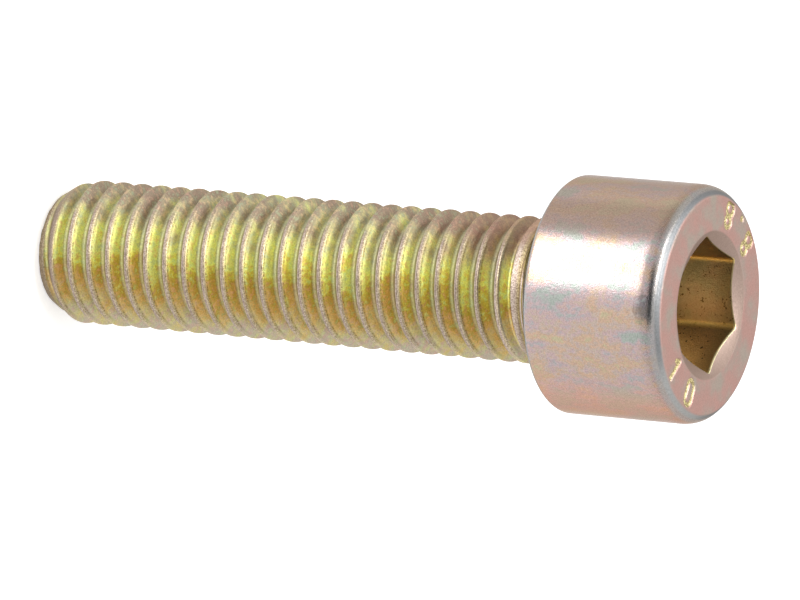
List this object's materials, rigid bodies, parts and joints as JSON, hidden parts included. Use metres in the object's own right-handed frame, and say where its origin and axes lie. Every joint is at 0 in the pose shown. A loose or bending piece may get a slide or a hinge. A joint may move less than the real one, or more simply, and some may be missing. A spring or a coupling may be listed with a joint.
{
  "type": "hex socket head cap screw",
  "caption": "Cap screw with a cylindrical head, a hexagon driver socket and a full-length coarse metric thread.",
  "frame": {"origin": "centre of the flat end of the point, which the screw stands on", "axes": "+Z along the screw's axis, from the point to the head; two corners of the hexagon socket lie on the X axis"},
  "size_m": [0.016, 0.016, 0.0495],
  "materials": {
    "plated_steel": "satin yellow zinc plating"
  },
  "bodies": {
    "root": {"cap_screw": "plated_steel"}
  },
  "joints": []
}
